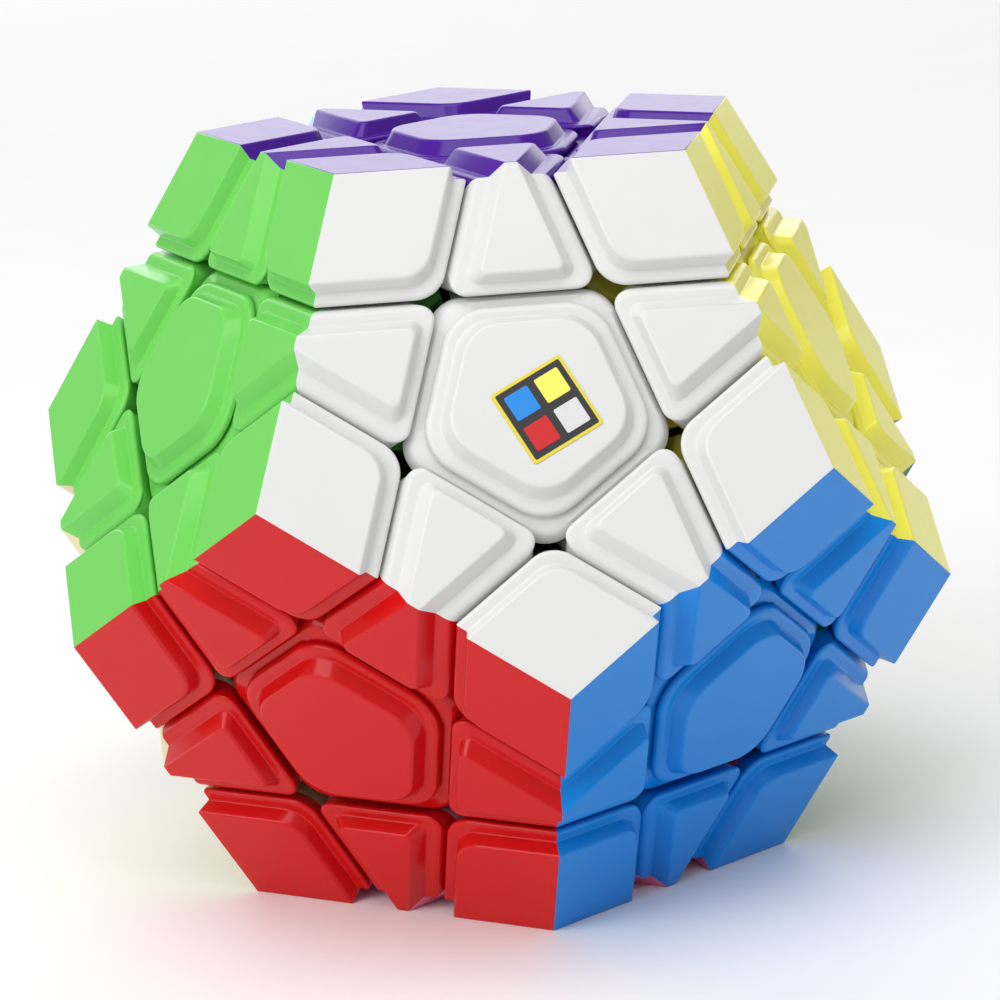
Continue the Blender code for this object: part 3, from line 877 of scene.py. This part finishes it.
def label_piece(name, distance, corner, low, high, colour, spot):
    """One square layer of the label, between two heights over the raised pentagon."""
    finish = Finish("vinyl_" + name, Roughness=0.35)
    speckle = finish.noise(1500)
    finish.feed(finish.shader, {"Base Color": finish.mixed(speckle, colour, [c * 0.9 for c in colour])})
    bevel = 0.02 * MM
    rings = []
    for inset, height in ((bevel, high), (0, high - bevel), (0, low)):
        ring = round_cornered(distance - inset, corner, FACE + height, 4, 4, LABEL_TURN)
        rings.append([point + spot.to_3d() for point in ring])
    bm = bmesh.new()
    loft(bm, rings)
    turn = facing(AXES["white"], UP)
    piece("label_" + name, finished(bm, name), turn, [finish.material], ROOT, "plastic_white")


label_piece("border", LABEL, 0.25 * MM, 0.01 * MM, LABEL_THICK, (0.80, 0.66, 0.04), LABEL_SPOT)
label_piece("field", LABEL - 0.28 * MM, 0.15 * MM, LABEL_THICK, LABEL_THICK * 1.5, (0.02, 0.02, 0.025),
            LABEL_SPOT)
for face, across, along in (("blue", -1, 1), ("yellow", 1, 1), ("red", -1, -1), ("white", 1, -1)):
    spot = LABEL_SPOT + (LABEL_RIGHT * across + LABEL_UP * along) * 1.5 * MM
    label_piece("square_" + face, 1.15 * MM, 0.15 * MM, LABEL_THICK * 1.5, LABEL_THICK * 2, DYES[face][0],
                spot)


# ---------------------------------------------------------------- set, light and camera
# The puzzle stands on a sheet of pale paper, in white light from all round and from three soft panels.
# The camera looks down on it by about 14 degrees, and is rolled by about 3.

bpy.context.scene.view_settings.view_transform = "Standard"

bm = bmesh.new()
bmesh.ops.create_grid(bm, x_segments=1, y_segments=1, size=2.5)
floor = bpy.data.objects.new("floor", finished(bm, "floor"))
paper = Finish("pale_paper", Roughness=0.8)
fibres = paper.noise(60)
paper.feed(paper.shader, {"Base Color": paper.mixed(fibres, (0.92, 0.92, 0.92), (0.90, 0.90, 0.905))})
floor.data.materials.append(paper.material)
bpy.context.scene.collection.objects.link(floor)

world = bpy.data.worlds.new("studio")
world.use_nodes = True
world.node_tree.nodes["Background"].inputs["Color"].default_value = (1, 1, 1, 1)
world.node_tree.nodes["Background"].inputs["Strength"].default_value = 0.38
bpy.context.scene.world = world


def panel(name, azimuth, elevation, distance, size, power):
    """A square soft light that looks at the middle of the puzzle."""
    light = bpy.data.lights.new(name, "AREA")
    light.shape = "SQUARE"
    light.size = size
    light.energy = power
    made = bpy.data.objects.new(name, light)
    flat = cos(radians(elevation))
    way = Vector((flat * cos(radians(azimuth)), flat * sin(radians(azimuth)), sin(radians(elevation))))
    made.location = MIDDLE + way * distance
    made.rotation_mode = "QUATERNION"
    made.rotation_quaternion = way.to_track_quat("Z", "Y")
    made.visible_camera = False
    bpy.context.scene.collection.objects.link(made)


panel("overhead", -100, 68, 0.9, 0.8, 5.4)
panel("key", -145, 25, 0.9, 0.6, 3.4)
panel("back", 90, 20, 1.2, 1.4, 8.0)

DISTANCE, LENS = 0.380, 150.6
AZIMUTH, ELEVATION, ROLL = radians(-97.8), radians(13.9), radians(-2.7)
ASIDE, BELOW = 0.6 * MM, 0.85 * MM  # how far the view is centred beside and below the middle
camera = bpy.data.objects.new("camera", bpy.data.cameras.new("camera"))
camera.data.lens = LENS
camera.data.sensor_width = 36
back = Vector((cos(ELEVATION) * cos(AZIMUTH), cos(ELEVATION) * sin(AZIMUTH), sin(ELEVATION)))
right = UP.cross(back).normalized()
over = back.cross(right)
tilted_right = right * cos(ROLL) + over * sin(ROLL)
tilted_over = over * cos(ROLL) - right * sin(ROLL)
turn = Matrix((tilted_right, tilted_over, back)).transposed().to_4x4()
place = MIDDLE + back * DISTANCE + tilted_right * ASIDE - tilted_over * BELOW
camera.matrix_world = Matrix.Translation(place) @ turn
bpy.context.scene.collection.objects.link(camera)
bpy.context.scene.camera = camera

bpy.context.view_layer.update()
